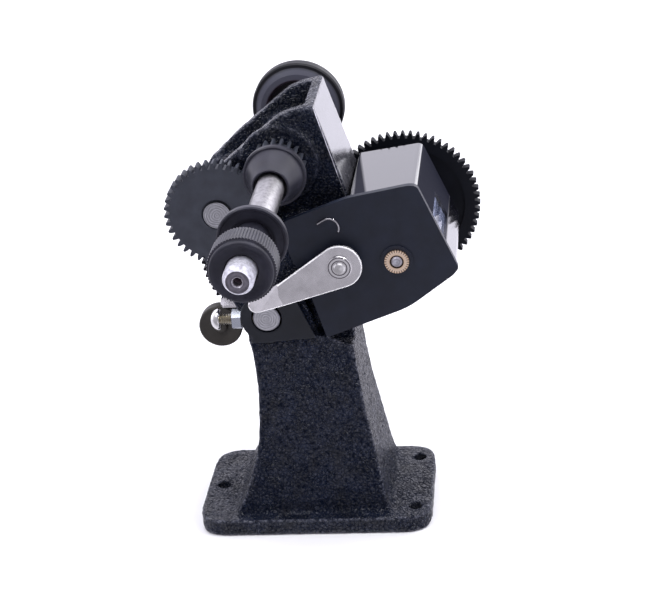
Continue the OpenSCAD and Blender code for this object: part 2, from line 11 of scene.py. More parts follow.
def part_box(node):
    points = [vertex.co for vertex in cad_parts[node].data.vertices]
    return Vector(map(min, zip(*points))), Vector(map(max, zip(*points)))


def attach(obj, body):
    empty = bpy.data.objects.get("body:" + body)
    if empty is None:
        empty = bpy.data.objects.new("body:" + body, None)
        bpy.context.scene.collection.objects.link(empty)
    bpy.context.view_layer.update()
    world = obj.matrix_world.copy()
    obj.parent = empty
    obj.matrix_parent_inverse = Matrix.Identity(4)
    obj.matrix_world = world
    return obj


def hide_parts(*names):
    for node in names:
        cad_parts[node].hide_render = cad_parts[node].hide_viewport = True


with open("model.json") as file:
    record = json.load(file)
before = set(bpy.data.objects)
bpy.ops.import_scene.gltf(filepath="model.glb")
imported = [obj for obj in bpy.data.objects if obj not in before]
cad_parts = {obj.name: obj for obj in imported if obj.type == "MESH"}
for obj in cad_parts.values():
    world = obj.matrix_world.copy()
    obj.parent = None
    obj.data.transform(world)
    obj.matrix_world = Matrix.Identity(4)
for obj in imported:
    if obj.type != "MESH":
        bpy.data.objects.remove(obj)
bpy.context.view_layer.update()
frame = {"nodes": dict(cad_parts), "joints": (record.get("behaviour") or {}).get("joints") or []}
nodes = frame["nodes"]
MM = 0.001

# Points on the turning axes, which all run along Y
AXIS = {joint["name"]: Vector(joint.get("pos_m") or (0, 0, 0)) for joint in frame["joints"]}
SPINDLE = AXIS["spindle_spin"]
LAY = AXIS["lay_spin"]
CRANK = AXIS["crank_turn"]
COUNTER = AXIS["counter_input_spin"]
LEVER = AXIS["lever_turn"]

# Flat faces of the CAD solids that looks or pieces start from
BOSS_FACE_Y = -29.4 * MM
HEAD_SIDE_LOW = Vector((25.4, 0, 158.4)) * MM
HEAD_SIDE_HIGH = Vector((13.2, 0, 198.6)) * MM
COVER_CORNER_X, COVER_CORNER_Z = 56.7 * MM, 166.6 * MM  # where the cover's top meets its window face
WINDOW_OUT_X, WINDOW_OUT_Z = 0.922, 0.388  # outward direction of the window face
WINDOW_ANGLE = math.radians(24)  # from the counter's axis towards the middle of the window


# ---------------------------------------------------------------- node materials


class Graph:
    """A short way to write a node material: most methods add a node and return its output."""

    def __init__(self, name):
        self.material = bpy.data.materials.new(name)
        self.material.use_nodes = True
        self.tree = self.material.node_tree
        self.tree.nodes.clear()
        self.out = self.tree.nodes.new("ShaderNodeOutputMaterial")
        self.bsdf = self.add("ShaderNodeBsdfPrincipled")
        self.link(self.bsdf.outputs[0], self.out.inputs["Surface"])
        self.coords = self.add("ShaderNodeTexCoord").outputs["Object"]

    def add(self, kind, **values):
        """Adds a node and returns it; each value is for the input or else the setting of that name."""
        node = self.tree.nodes.new(kind)
        for key, value in values.items():
            if key in node.inputs:
                self.put(node.inputs[key], value)
            else:
                setattr(node, key, value)
        return node

    def link(self, output, socket):
        self.tree.links.new(output, socket)

    def put(self, socket, value):
        if isinstance(value, bpy.types.NodeSocket):
            self.link(value, socket)
        else:
            socket.default_value = value

    def set(self, **values):
        """Sets inputs of the main shader, with _ for a space in their names."""
        for key, value in values.items():
            self.put(self.bsdf.inputs[key.replace("_", " ")], value)

    def cover(self, share, shader):
        """Shows shader in place of the main one, by that share."""
        mix = self.add("ShaderNodeMixShader")
        self.link(share, mix.inputs[0])
        self.link(self.bsdf.outputs[0], mix.inputs[1])
        self.link(shader.outputs[0], mix.inputs[2])
        self.link(mix.outputs[0], self.out.inputs["Surface"])

    def geometry(self, output):
        return self.add("ShaderNodeNewGeometry").outputs[output]

    def mapped(self, scale=(1, 1, 1), shift=(0, 0, 0)):
        """Coordinates measured from shift, times scale."""
        node = self.add("ShaderNodeMapping")
        self.link(self.coords, node.inputs["Vector"])
        node.inputs["Scale"].default_value = scale
        node.inputs["Location"].default_value = [-a * b for a, b in zip(shift, scale)]
        return node.outputs[0]

    def noise(self, scale, detail=3.0, vector=None, rough=0.5):
        node = self.add("ShaderNodeTexNoise", Scale=scale, Detail=detail, Roughness=rough)
        self.link(vector or self.coords, node.inputs["Vector"])
        return node.outputs[0]

    def ramp(self, factor, stops):
        node = self.add("ShaderNodeValToRGB")
        elements = node.color_ramp.elements
        while len(elements) < len(stops):
            elements.new(0.5)
        for element, (place, colour) in zip(elements, stops):
            element.position = place
            element.color = (*colour, 1)
        self.link(factor, node.inputs[0])
        return node.outputs[0]

    def between(self, value, low, high, to_low=0.0, to_high=1.0, smooth=False):
        """Maps low..high to to_low..to_high, and holds the ends beyond them."""
        node = self.add("ShaderNodeMapRange", interpolation_type="SMOOTHSTEP" if smooth else "LINEAR")
        for name, number in (("From Min", low), ("From Max", high), ("To Min", to_low), ("To Max", to_high)):
            node.inputs[name].default_value = number
        self.link(value, node.inputs["Value"])
        return node.outputs[0]

    def spread(self, factor, low, high):
        return self.between(factor, 0.0, 1.0, low, high)

    def maths(self, kind, a, b=0.0):
        node = self.add("ShaderNodeMath", operation=kind)
        self.put(node.inputs[0], a)
        self.put(node.inputs[1], b)
        return node.outputs[0]

    def times(self, a, b):
        return self.maths("MULTIPLY", a, b)

    def total(self, *terms):
        """Sum of value times weight, over (value, weight) terms."""
        scaled = [value if weight == 1 else self.times(value, weight) for value, weight in terms]
        result = scaled[0]
        for term in scaled[1:]:
            result = self.maths("ADD", result, term)
        return result

    def split(self, vector):
        node = self.add("ShaderNodeSeparateXYZ")
        self.link(vector, node.inputs[0])
        return node.outputs

    def away(self, centre):
        """Distance in metres from a part's turning axis, which runs along Y."""
        x, _, z = self.split(self.mapped(shift=centre))
        return self.maths("SQRT", self.maths("ADD", self.times(x, x), self.times(z, z)))

    def blend(self, factor, a, b):
        node = self.add("ShaderNodeMix", data_type="RGBA")
        self.put(node.inputs[0], factor)
        for socket, colour in ((node.inputs[6], a), (node.inputs[7], b)):
            self.put(socket, colour if isinstance(colour, bpy.types.NodeSocket) else (*colour, 1))
        return node.outputs[2]

    def bump(self, height, strength, distance):
        node = self.add("ShaderNodeBump", Strength=strength, Distance=distance)
        self.link(height, node.inputs["Height"])
        return node.outputs[0]


def tint(colour, factor):
    return tuple(c * factor for c in colour)


def mottled(g, colour, scale, amount=0.25):
    """Colour that varies softly by amount over a noise of that scale."""
    return g.ramp(g.noise(scale, 4), [(0.3, tint(colour, 1 - amount)), (0.7, tint(colour, 1 + amount))])


def crackle_paint(name, colour, depth, gloss):
    """Wrinkle enamel over cast iron: worm-like ridges, pits between them, and a shine on the ridges. Its
    colour has painted glints as light grey specks, a painted highlight on sharp corners where the paint is
    also rubbed, and painted shade as a dark matt cover in the pits and veins.
    """
    g = Graph(name)
    tangle = g.add("ShaderNodeTexNoise", Scale=420.0, Detail=2.0)
    g.link(g.coords, tangle.inputs["Vector"])
    warp = g.add("ShaderNodeVectorMath", operation="MULTIPLY_ADD")
    g.link(tangle.outputs["Color"], warp.inputs[0])
    warp.inputs[1].default_value = [2.6 * MM] * 3
    g.link(g.coords, warp.inputs[2])
    cells = g.add("ShaderNodeTexVoronoi", Scale=560.0, feature="DISTANCE_TO_EDGE")
    g.link(warp.outputs[0], cells.inputs["Vector"])
    from_vein = cells.outputs["Distance"]
    ridges = g.between(from_vein, 0.0, 0.3)
    patches = g.between(g.noise(60), 0.35, 0.65, 0.35, 1.0)
    lumps = g.noise(110)
    fine = g.noise(1500, 4, rough=0.65)
    height = g.total((g.times(ridges, patches), 0.7), (fine, 0.55), (lumps, 0.8))
    base = g.ramp(lumps, [(0.35, tint(colour, 0.6)), (0.65, tint(colour, 1.5))])
    # Light grey specks are painted glints; light grey on sharp corners is a painted edge highlight as well as
    # rubbed paint.
    painted_glint_specks = g.between(g.noise(1050, 5, rough=0.75), 0.58, 0.67)
    corners = g.between(g.geometry("Pointiness"), 0.508, 0.535)
    rubbed_edge_highlight = g.times(corners, g.between(g.noise(420, 4, rough=0.7), 0.4, 0.6))
    painted_glints_edge_highlights_and_rub = g.maths("MAXIMUM", g.times(painted_glint_specks, 0.8), rubbed_edge_highlight)
    g.set(
        Base_Color=g.blend(painted_glints_edge_highlights_and_rub, base, (0.09, 0.095, 0.125)),
        Roughness=g.spread(g.noise(300), gloss - 0.06, gloss + 0.16),
        Normal=g.bump(height, 0.8, depth),
        IOR=1.45,
        Specular_IOR_Level=g.between(ridges, 0.1, 0.8, 0.3, 0.62),
    )
    # Painted shade: a dark matt cover over the noise pits and the veins between ridges.
    pits = g.between(g.noise(620, 4, rough=0.62), 0.36, 0.5, 0.85, 0.0)
    veins = g.between(from_vein, 0.02, 0.11, 0.75, 0.0)
    painted_shade_hollows = g.maths("MAXIMUM", pits, g.times(veins, patches))
    g.cover(painted_shade_hollows, g.add("ShaderNodeBsdfDiffuse", Color=(*tint(colour, 0.5), 1)))
    return g.material


def satin_black(name, centre, colour, rough, lines):
    """Turned steel with a black oxide finish: faint rings from the tool about the part's axis."""
    g = Graph(name)
    rings = g.add("ShaderNodeTexWave", wave_type="RINGS", rings_direction="Y", Scale=520.0, Distortion=1.5)
    g.link(g.mapped(shift=centre), rings.inputs["Vector"])
    g.set(
        Base_Color=mottled(g, colour, 120, 0.3),
        Metallic=0.15,
        Roughness=g.spread(g.noise(240, 4), rough - 0.08, rough + 0.14),
        Normal=g.bump(g.total((rings.outputs["Fac"], 0.5), (g.noise(2600), 1)), 0.35, lines),
        Specular_IOR_Level=0.34,
    )
    return g.material


def turned_steel(name, centre, colour, rough=0.3, depth=0.03 * MM, rings=700.0, end=(0.7, 0.7, 0.76),
                 dimple=0.0, frost_y=None):
    """Bright shaft steel: rings on the end faces, fine lines round the body, dull spots and scratches.

    rings are per metre of radius, dimple is the radius in mm of a darker centre hole, and the sides in front
    of frost_y are pale and dull.
    """
    g = Graph(name)
    radius = g.away(centre)
    wave = g.maths("SINE", g.total((radius, rings * 6.3), (g.noise(300), 9.0)))
    wave = g.times(wave, g.between(g.noise(420, 4), 0.35, 0.65, 0.1, 1.0))
    lines = g.noise(1.0, 3, g.mapped(scale=(60, 2600, 60)))
    scratches = g.noise(1.0, 4, g.mapped(scale=(420, 160, 420)))
    height = g.total((wave, 0.3), (lines, 0.9), (scratches, 0.8))
    spots = g.noise(520, 6, rough=0.75)
    base = g.ramp(spots, [(0.3, tint(colour, 0.42)), (0.5, colour), (0.72, tint(colour, 1.35))])
    base = g.blend(g.between(wave, -1.0, 1.0, 0.0, 0.25), base, tint(colour, 0.5))
    _, normal_y, _ = g.split(g.geometry("Normal"))
    along_axis = g.maths("ABSOLUTE", normal_y)
    shine = g.between(g.total((wave, 1), (spots, 2.2)), 0.2, 2.1)
    base = g.blend(g.between(along_axis, 0.75, 0.97), base, g.blend(shine, tint(end, 0.5), end))
    metal = 1.0
    if frost_y is not None:
        _, y, _ = g.split(g.coords)
        side = g.between(along_axis, 0.75, 0.97, 1.0, 0.0)
        frost = g.times(g.between(y, frost_y, frost_y + 2 * MM, 1.0, 0.0), side)
        pale = g.ramp(spots, [(0.35, (0.34, 0.33, 0.38)), (0.6, (0.72, 0.72, 0.8))])
        base = g.blend(frost, base, pale)
        metal = g.spread(frost, 1.0, 0.25)
    if dimple:
        centre_darkening = g.between(radius, dimple * 0.6 * MM, dimple * 1.25 * MM, 1.0, 0.0, smooth=True)
        base = g.blend(centre_darkening, base, (0.07, 0.045, 0.06))
    g.set(
        Base_Color=base,
        Metallic=metal,
        Roughness=g.spread(scratches, rough - 0.06, rough + 0.2),
        Normal=g.bump(height, 0.5, depth),
    )
    return g.material


def plated(name, colour, rough=0.25, grain=0.01 * MM, scale=(900, 900, 900)):
    """Plated sheet or fasteners: clean metal with a slight brushed grain and handling marks."""
    g = Graph(name)
    lines = g.noise(1.0, 3, g.mapped(scale=scale))
    marks = g.noise(160, 5, rough=0.65)
    g.set(
        Base_Color=g.ramp(marks, [(0.3, tint(colour, 0.84)), (0.7, tint(colour, 1.08))]),
        Metallic=1.0,
        Roughness=g.spread(lines, rough - 0.05, rough + 0.1),
        Normal=g.bump(lines, 0.4, grain),
    )
    return g.material


def moulded(name, colour, rough=0.6, grain=0.02 * MM, scale=1800, shine=0.5):
    """Matt paint or moulded plastic with a fine even grain."""
    g = Graph(name)
    g.set(
        Base_Color=mottled(g, colour, 150, 0.2),
        Roughness=g.spread(g.noise(400), rough - 0.07, rough + 0.1),
        Normal=g.bump(g.noise(scale), 0.5, grain),
        IOR=1.45,
        Specular_IOR_Level=shine,
    )
    return g.material


def ringed(name, centre, stops, metal=1.0, rough=0.35, spokes=0, shine=0.5):
    """Looks that change with distance from the part's axis.

    stops are (mm, colour) and the last is the part's rim, which spokes cuts into that many teeth, with painted
    shade in the gaps between them.
    """
    g = Graph(name)
    reach = stops[-1][0]
    radius = g.away(centre)
    colour = g.ramp(g.between(radius, 0.0, reach * MM), [(mm / reach, tone) for mm, tone in stops])
    height = g.noise(1400)
    if spokes:
        x, _, z = g.split(g.mapped(shift=centre))
        turn = g.maths("SINE", g.times(g.maths("ARCTAN2", z, x), float(spokes)))
        rim = g.between(radius, (reach - 1.3) * MM, (reach - 0.9) * MM)
        height = g.total((height, 1), (g.times(turn, rim), 2.0))
        # Painted shade: darker colour in the gaps between the teeth
        tooth_gap_shade = g.times(g.between(turn, -1.0, 0.2, 0.9, 0.0), rim)
        colour = g.blend(tooth_gap_shade, colour, (0.12, 0.07, 0.05))
    g.set(
        Base_Color=colour,
        Metallic=metal,
        Roughness=g.spread(g.noise(500), rough - 0.08, rough + 0.12),
        Normal=g.bump(height, 0.4, 0.05 * MM),
        Specular_IOR_Level=shine,
    )
    return g.material


def enamel(name, colour, rough, ior, waves, painted_sheen):
    """Polished black enamel: a near mirror with slight waves, dust specks and faint wipe marks; the wipe marks
    are lighter grey in colour, a painted sheen over real marks.
    """
    g = Graph(name)
    wipes = g.noise(1.0, 5, g.mapped(scale=(900, 420, 40)), rough=0.6)
    specks = g.ramp(g.noise(900, 2), [(0.66, (0, 0, 0)), (0.74, (1, 1, 1))])
    # Lighter grey in the wipe marks: painted sheen as well as real wipe marks.
    grey = tint((0.62, 0.62, 0.7), painted_sheen)
    g.set(
        Base_Color=g.blend(g.between(wipes, 0.32, 0.68), mottled(g, colour, 90, 0.2), grey),
        Roughness=g.total((g.spread(wipes, rough - 0.02, rough + 0.08), 1), (specks, 0.12)),
        Normal=g.bump(g.total((g.noise(70, 2), 1), (wipes, 0.06)), 0.35, waves),
        IOR=ior,
    )
    return g.material


def clear_window(name):
    """Smoked window sheet with soft bluish stripes along its long side and a few bright scuffs."""
    g = Graph(name)
    stripes = g.noise(1.0, 2, g.mapped(scale=(260, 8, 260)))
    scuffs = g.noise(1.0, 4, g.mapped(scale=(700, 240, 700)), rough=0.7)
    g.set(
        Base_Color=g.ramp(stripes, [(0.4, (0.05, 0.06, 0.1)), (0.6, (0.3, 0.34, 0.5))]),
        Roughness=g.spread(scuffs, 0.02, 0.16),
        Normal=g.bump(g.noise(60, 2), 0.3, 0.05 * MM),
        IOR=1.6,
        Alpha=g.ramp(scuffs, [(0.3, (0.5, 0.5, 0.5)), (0.7, (0.78, 0.78, 0.78))]),
    )
    return g.material


def window_bezel(name):
    """The cover's enamel: a mirror on most of its top; round the window, except near its foot, a matt black
    stands in as a painted dark reflection.
    """
    g = Graph(name)
    x, y, z = g.split(g.coords)
    from_x, from_z = g.maths("SUBTRACT", x, COVER_CORNER_X), g.maths("SUBTRACT", z, COVER_CORNER_Z)
    down_face = g.total((from_x, WINDOW_OUT_Z), (from_z, -WINDOW_OUT_X))
    along_top = g.total((from_x, -WINDOW_OUT_X), (from_z, -WINDOW_OUT_Z))
    normal_x, _, normal_z = g.split(g.geometry("Normal"))
    on_face = g.between(g.total((normal_x, WINDOW_OUT_X), (normal_z, WINDOW_OUT_Z)), 0.9, 0.96)
    above_foot = g.between(down_face, 27.8 * MM, 30.2 * MM, 1.0, 0.0, smooth=True)
    dull = g.times(on_face, above_foot)
    wipes = g.noise(1.0, 4, g.mapped(scale=(300, 60, 300)))
    g.set(
        Base_Color=mottled(g, (0.005, 0.005, 0.008), 90, 0.2),
        Roughness=g.total((g.spread(wipes, 0.07, 0.16), 1), (dull, 0.4)),
        Normal=g.bump(g.total((g.noise(70, 2), 1), (g.noise(180), 0.2)), 0.35, 0.05 * MM),
        IOR=2.2,
    )
    # A matt wedge runs along the top from front to back, 5.4 mm wide at the front and 1.2 mm at the back:
    # painted dark reflection too
    front, back = -27 * MM, 27 * MM
    near_edge = g.between(y, front, back, 20.7 * MM, 27.2 * MM)
    far_edge = g.between(y, front, back, 26.1 * MM, 28.4 * MM)
    past_near = g.between(g.maths("SUBTRACT", along_top, near_edge), 0.0, 1.2 * MM)
    before_far = g.between(g.maths("SUBTRACT", along_top, far_edge), 0.0, 0.8 * MM, 1.0, 0.0)
    wedge = g.times(g.times(past_near, before_far), g.between(normal_z, 0.85, 0.9))
    # Painted dark reflection: matt black in place of the mirror round the window and on the wedge
    matt = g.add("ShaderNodeBsdfDiffuse", Color=(0.012, 0.013, 0.022, 1))
    g.cover(g.times(g.maths("MAXIMUM", dull, wedge), 0.93), matt)
    return g.material


CRACKLE = crackle_paint("crackle_paint", (0.0026, 0.0056, 0.0165), depth=1.1 * MM, gloss=0.2)
MACHINED_PAINT = moulded("machined_paint", (0.006, 0.008, 0.014), 0.45, 0.08 * MM, 420)
HEAD_ENAMEL = enamel("head_enamel", (0.012, 0.012, 0.018), rough=0.16, ior=2.0, waves=0.06 * MM, painted_sheen=0.2)
COVER_ENAMEL = window_bezel("cover_enamel")
PLATE_MATT = moulded("plate_matte", (0.0042, 0.0075, 0.0195), 0.5, 0.01 * MM, 2400)
GEAR_MATT = moulded("gear_matte", (0.03, 0.034, 0.048), 0.58, scale=1500)
GEAR_DARK = moulded("gear_dark", (0.003, 0.004, 0.008), scale=1500, shine=0.2)
NICKEL = plated("satin_nickel", (0.86, 0.84, 0.85), 0.24, scale=(500, 500, 500))
CHROME = plated("chrome", (0.8, 0.79, 0.78), 0.14, 0.005 * MM, (500, 500, 500))
ZINC = plated("zinc_plate", (0.66, 0.7, 0.78))
GEAR_STEEL = plated("gear_steel", (0.3, 0.3, 0.31), 0.35)
BRASS = plated("brass", (0.62, 0.36, 0.14), 0.28, 0.03 * MM, (1800, 300, 1800))
BRONZE = plated("oiled_bronze", (0.36, 0.24, 0.11), 0.4)
YELLOWED = plated("yellowed_plating", (0.42, 0.38, 0.29), 0.26)
# Near-white matt paint for the lever's bevel: a painted edge highlight
PAINTED_EDGE_HIGHLIGHT = moulded("painted_edge_highlight", (0.9, 0.89, 0.9), 0.35)
SPRING_STEEL = plated("spring_steel", (0.5, 0.49, 0.51), 0.14)
BRIGHT_CORNER_STRIP = plated("bright_corner_strip", (0.78, 0.78, 0.84), 0.3, 0.03 * MM, (900, 900, 200))
DIGIT_WHITE = moulded("digit_white", (0.5, 0.5, 0.52), 0.4)
DIGIT_INK = moulded("digit_ink", (0.008, 0.008, 0.009), 0.5)
GRIP_BLACK = moulded("grip_black", (0.009, 0.009, 0.01), 0.3, 0.01 * MM)
ROLLER_DARK = moulded("roller_dark", (0.03, 0.026, 0.021), 0.55, scale=900)
WINDOW_CLEAR = clear_window("window_clear")
SPINDLE_BLACK = satin_black("spindle_black", SPINDLE, (0.022, 0.022, 0.033), rough=0.42, lines=0.02 * MM)
SPINDLE_STEEL = turned_steel(
    "spindle_steel", SPINDLE, (0.3384, 0.3312, 0.342), depth=0.05 * MM, rings=500.0, end=(0.34, 0.32, 0.37),
    dimple=2.1, frost_y=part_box("clamp_nut")[0].y + 2 * MM)
# Painted shade: dark rings on the washer's two grooves; painted highlights: the light rings at their outer
# edges.
LEVER_NICKEL = ringed("lever_nickel", LEVER, [
    (0.0, (0.9, 0.88, 0.88)), (3.0, (0.86, 0.85, 0.85)), (3.12, (0.2, 0.18, 0.2)), (3.5, (0.3, 0.28, 0.3)),
    (3.62, (0.95, 0.94, 0.94)), (4.4, (0.9, 0.88, 0.88)), (4.55, (0.25, 0.24, 0.26)), (4.9, (0.3, 0.28, 0.3)),
    (5.05, (1.0, 0.98, 0.98)), (5.45, (0.8, 0.8, 0.8)), (6.0, (0.8, 0.8, 0.8))], rough=0.22)
LAY_STEEL = turned_steel(
    "lay_steel", LAY, (0.25, 0.25, 0.29), depth=0.12 * MM, rings=900.0, end=(0.72, 0.72, 0.76))
CRANK_STEEL = turned_steel(
    "crank_steel", CRANK, (0.3, 0.3, 0.34), depth=0.12 * MM, rings=900.0, end=(0.84, 0.84, 0.88))
COUNTER_STEEL = turned_steel("counter_steel", COUNTER, (0.5, 0.47, 0.52), 0.35)
# The lighter bluish ring from about 15 to 19 mm is a painted highlight.
WHEEL_BLACK = ringed("handwheel_black", SPINDLE, [
    (0.0, (0.008, 0.007, 0.009)), (12.5, (0.008, 0.007, 0.009)), (14.6, (0.02, 0.012, 0.022)),
    (15.4, (0.05, 0.05, 0.07)), (19.0, (0.055, 0.057, 0.08)), (20.2, (0.006, 0.006, 0.009)),
    (24.0, (0.005, 0.005, 0.008))], metal=0.0, rough=0.5, shine=0.25)
# Dark inside 2.9 mm: painted shade in the gap round the shaft; the teeth have painted shade between them.
BUSH_BRASS = ringed("bush_brass", COUNTER, [
    (0.0, (0.03, 0.018, 0.012)), (2.9, (0.04, 0.022, 0.014)), (3.2, (0.95, 0.72, 0.52)),
    (4.2, (0.98, 0.78, 0.6)), (5.4, (0.9, 0.66, 0.46))], rough=0.3, spokes=28)

CAD_LOOKS = (
    (BRASS, "counter_rear_bush counter_gear_hub transfer_pinions"),
    (BRONZE, "spindle_bushes lay_bushes crank_bushes friction_pad"),
    (BUSH_BRASS, "counter_front_bush"),
    (CHROME, "reset_rivet"),
    (COUNTER_STEEL, "counter_input_shaft"),
    (COVER_ENAMEL, "counter_cover"),
    (CRANK_STEEL, "crank_shaft"),
    (DIGIT_WHITE, "units_wheel tens_wheel hundreds_wheel thousands_wheel"),
    (GEAR_DARK, "crank_gear counter_driver counter_gear"),
    (GEAR_MATT, "spindle_pinion lay_gear"),
    (GEAR_STEEL, "lay_pinion"),
    (GRIP_BLACK, "crank_grip"),
    (LAY_STEEL, "lay_shaft"),
    (NICKEL, "crank_arm guide_bracket"),
    (PLATE_MATT, "counter_front_plate counter_back_plate"),
    (ROLLER_DARK, "guide_roller guide_pin"),
    (SPINDLE_BLACK, "rear_cone front_cone"),
    (SPINDLE_STEEL, "spindle"),
    (WHEEL_BLACK, "handwheel"),
    (WINDOW_CLEAR, "counter_window"),
    (ZINC, "handwheel_nut crank_screw grip_pin friction_lock_nut guide_screw"),
    (ZINC, "counter_spacers counter_screws transfer_shaft"),
)
USUAL_BEVEL = 0.22  # mm, as in BEVELS
BEVELS = {
    "counter_cover": 0.15, "counter_front_plate": 0.25, "counter_window": 0.1,
    "counter_screws": 0, "counter_spacers": 0, "transfer_shaft": 0,
}


# ---------------------------------------------------------------- helpers for pieces


def paint(obj, *materials):
    obj.data.materials.clear()
    for material in materials:
        obj.data.materials.append(material)


def bevel_edges(obj, width, angle, segments=2):
    """A bevel, width in mm, on the edges sharper than angle in degrees."""
    bevel = obj.modifiers.new("edges", "BEVEL")
    bevel.width = width * MM
    bevel.segments = segments
    bevel.limit_method = "ANGLE"
    bevel.angle_limit = math.radians(angle)
    return bevel


def finish_mesh(obj, bevel=0.0, angle=32):
    """Soft shading with crisp edges: where asked, a narrow bevel on sharp edges, then weighted normals."""
    for polygon in obj.data.polygons:
        polygon.use_smooth = True
    obj.data.set_sharp_from_angle(angle=math.radians(angle))
    if bevel:
        bevel_edges(obj, bevel, angle)
        obj.modifiers.new("normals", "WEIGHTED_NORMAL").keep_sharp = True


def shown(name, data):
    obj = bpy.data.objects.new(name, data)
    bpy.context.scene.collection.objects.link(obj)
    return obj


def evaluated_mesh(obj):
    """A new mesh from the object as its modifiers or curve settings leave it."""
    graph = bpy.context.evaluated_depsgraph_get()
    return bpy.data.meshes.new_from_object(obj.evaluated_get(graph))


def settle(obj, body, instead_of=None):
    """Puts a piece on its body, in place of a CAD node if one is named."""
    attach(obj, body)
    if instead_of:
        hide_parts(instead_of)


def new_piece(name, body, verts, faces, material, instead_of=None):
    mesh = bpy.data.meshes.new(name)
    mesh.from_pydata([tuple(v) for v in verts], [], faces)
    mesh.validate()
    bm = bmesh.new()
    bm.from_mesh(mesh)
    bmesh.ops.recalc_face_normals(bm, faces=bm.faces)
    bm.to_mesh(mesh)
    bm.free()
    obj = shown(name, mesh)
    paint(obj, material)
    settle(obj, body, instead_of)
    return obj


def swept(count, turns, closed_ends):
    """Faces between count rows of points that each run once round; rows join to a loop unless closed_ends."""
    faces = []
    for i in range(count - 1 if closed_ends else count):
        j = (i + 1) % count
        for k in range(turns):
            n = (k + 1) % turns
            faces.append((i * turns + k, i * turns + n, j * turns + n, j * turns + k))
    if closed_ends:
        faces.append(tuple(range(turns)))
        faces.append(tuple(range((count - 1) * turns, count * turns)))
    return faces


def lathe(name, body, place, profile, material, turns, ripple=None, closed_ends=False, instead_of=None):
    """Turns profile, a list of (radius, distance) in mm, about local +Y and puts it at place, a matrix.

    ripple(row, radius, distance, angle) gives the radius and distance of a point where they vary.
    """
    verts = []
    for i, (radius, along) in enumerate(profile):
        for k in range(turns):
            a = 2 * math.pi * k / turns
            r, y = ripple(i, radius, along, a) if ripple else (radius, along)
            verts.append(place @ (Vector((r * math.cos(a), y, r * math.sin(a))) * MM))
    faces = swept(len(profile), turns, closed_ends)
    return new_piece(name, body, verts, faces, material, instead_of)


def about(axis, y):
    """The place at y on a turning axis."""
    return Matrix.Translation((axis.x, y, axis.z))


def cut(bm, place, normal):
    """Adds edges where a plane crosses the mesh."""
    bmesh.ops.bisect_plane(bm, geom=bm.verts[:] + bm.edges[:] + bm.faces[:], plane_co=place, plane_no=normal)


# ---------------------------------------------------------------- pieces that stand for CAD nodes


def build_casting():
    """The stand, remeshed from its CAD solid so that its edges are cast round and its skin is uneven."""
    obj = shown("casting", nodes["frame_casting"].data.copy())
    remesh = obj.modifiers.new("voxels", "REMESH")
    remesh.mode = "VOXEL"
    remesh.voxel_size = 0.75 * MM
    smooth = obj.modifiers.new("round", "SMOOTH")
    smooth.factor = 0.5
    smooth.iterations = 5
    lumps = bpy.data.textures.new("cast_lumps", "CLOUDS")
    lumps.noise_scale = 5 * MM
    lumps.noise_depth = 3
    swell = obj.modifiers.new("skin", "DISPLACE")
    swell.texture = lumps
    swell.texture_coords = "LOCAL"
    swell.strength = 0.45 * MM
    swell.mid_level = 0.62
    mesh = evaluated_mesh(obj)
    obj.modifiers.clear()
    obj.data = mesh
    flatten_machined(mesh)
    paint(obj, CRACKLE, HEAD_ENAMEL, MACHINED_PAINT)
    side = Vector((0.955, 0, 0.297))
    enamel_from_z, boss_from_z = 152 * MM, 90 * MM
    for polygon in mesh.polygons:
        polygon.use_smooth = True
        centre = polygon.center
        if centre.z > enamel_from_z and polygon.normal.dot(side) > 0.93:
            polygon.material_index = 1
        elif centre.z > boss_from_z and centre.y < BOSS_FACE_Y + 0.7 * MM:
            polygon.material_index = 2
    settle(obj, "frame", "frame_casting")


def flatten_machined(mesh):
    """Brings the machined faces back to flat: the boss face and the head's right side."""
    rise = HEAD_SIDE_HIGH - HEAD_SIDE_LOW
    out = Vector((rise.z, 0, -rise.x)).normalized()
    margin = 0.55 * MM
    boss_from_z = 95 * MM
    side_low, side_high = 150 * MM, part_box("frame_casting")[1].z - 1.6 * MM
    side_front, side_back = -9.5 * MM, 33.5 * MM
    for v in mesh.vertices:
        if abs(v.co.y - BOSS_FACE_Y) < margin and v.co.z > boss_from_z:
            v.co.y = BOSS_FACE_Y
        gap = (v.co - HEAD_SIDE_LOW).dot(out)
        if abs(gap) < margin and side_low < v.co.z < side_high and side_front < v.co.y < side_back:
            v.co -= out * gap


def build_clamp_nut():
    """The clamp nut with a lip, a knurled band and a hub, from front to back."""
    low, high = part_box("clamp_nut")
    lip, band, hub, bore = 12.3, 13.35, 7.4, 6.05
    length = (high.y - low.y) / MM
    profile = [
        (bore, 3.0), (6.5, 3.0), (6.6, 1.7), (8.2, 1.9), (9.0, 1.5), (lip - 2.4, 1.0), (lip - 1.6, 0.3),
        (lip - 1.2, 0.05), (lip - 0.9, 0.0), (lip - 0.5, 0.1), (lip - 0.15, 0.45), (lip, 0.95), (lip, 1.9),
        (lip + 0.2, 2.1), (band, 2.3), (band, 2.8), (band, 12.3), (band, 12.7), (band - 0.5, 13.3),
        (hub + 1.4, 13.6), (hub + 0.4, 13.9), (hub, 14.6), (hub, length - 0.3), (hub - 0.3, length),
        (bore, length),
    ]
    ridges, depth = 68, 0.42

    def knurl(_, r, y, a):
        if r == band:
            r -= depth * (0.5 + 0.5 * math.cos(ridges * a)) ** 1.5
        return r, y

    nut = lathe("knurled_clamp_nut", "clamp_nut", about(SPINDLE, low.y), profile, SPINDLE_BLACK,
                ridges * 6, knurl, instead_of="clamp_nut")
    finish_mesh(nut, angle=40)


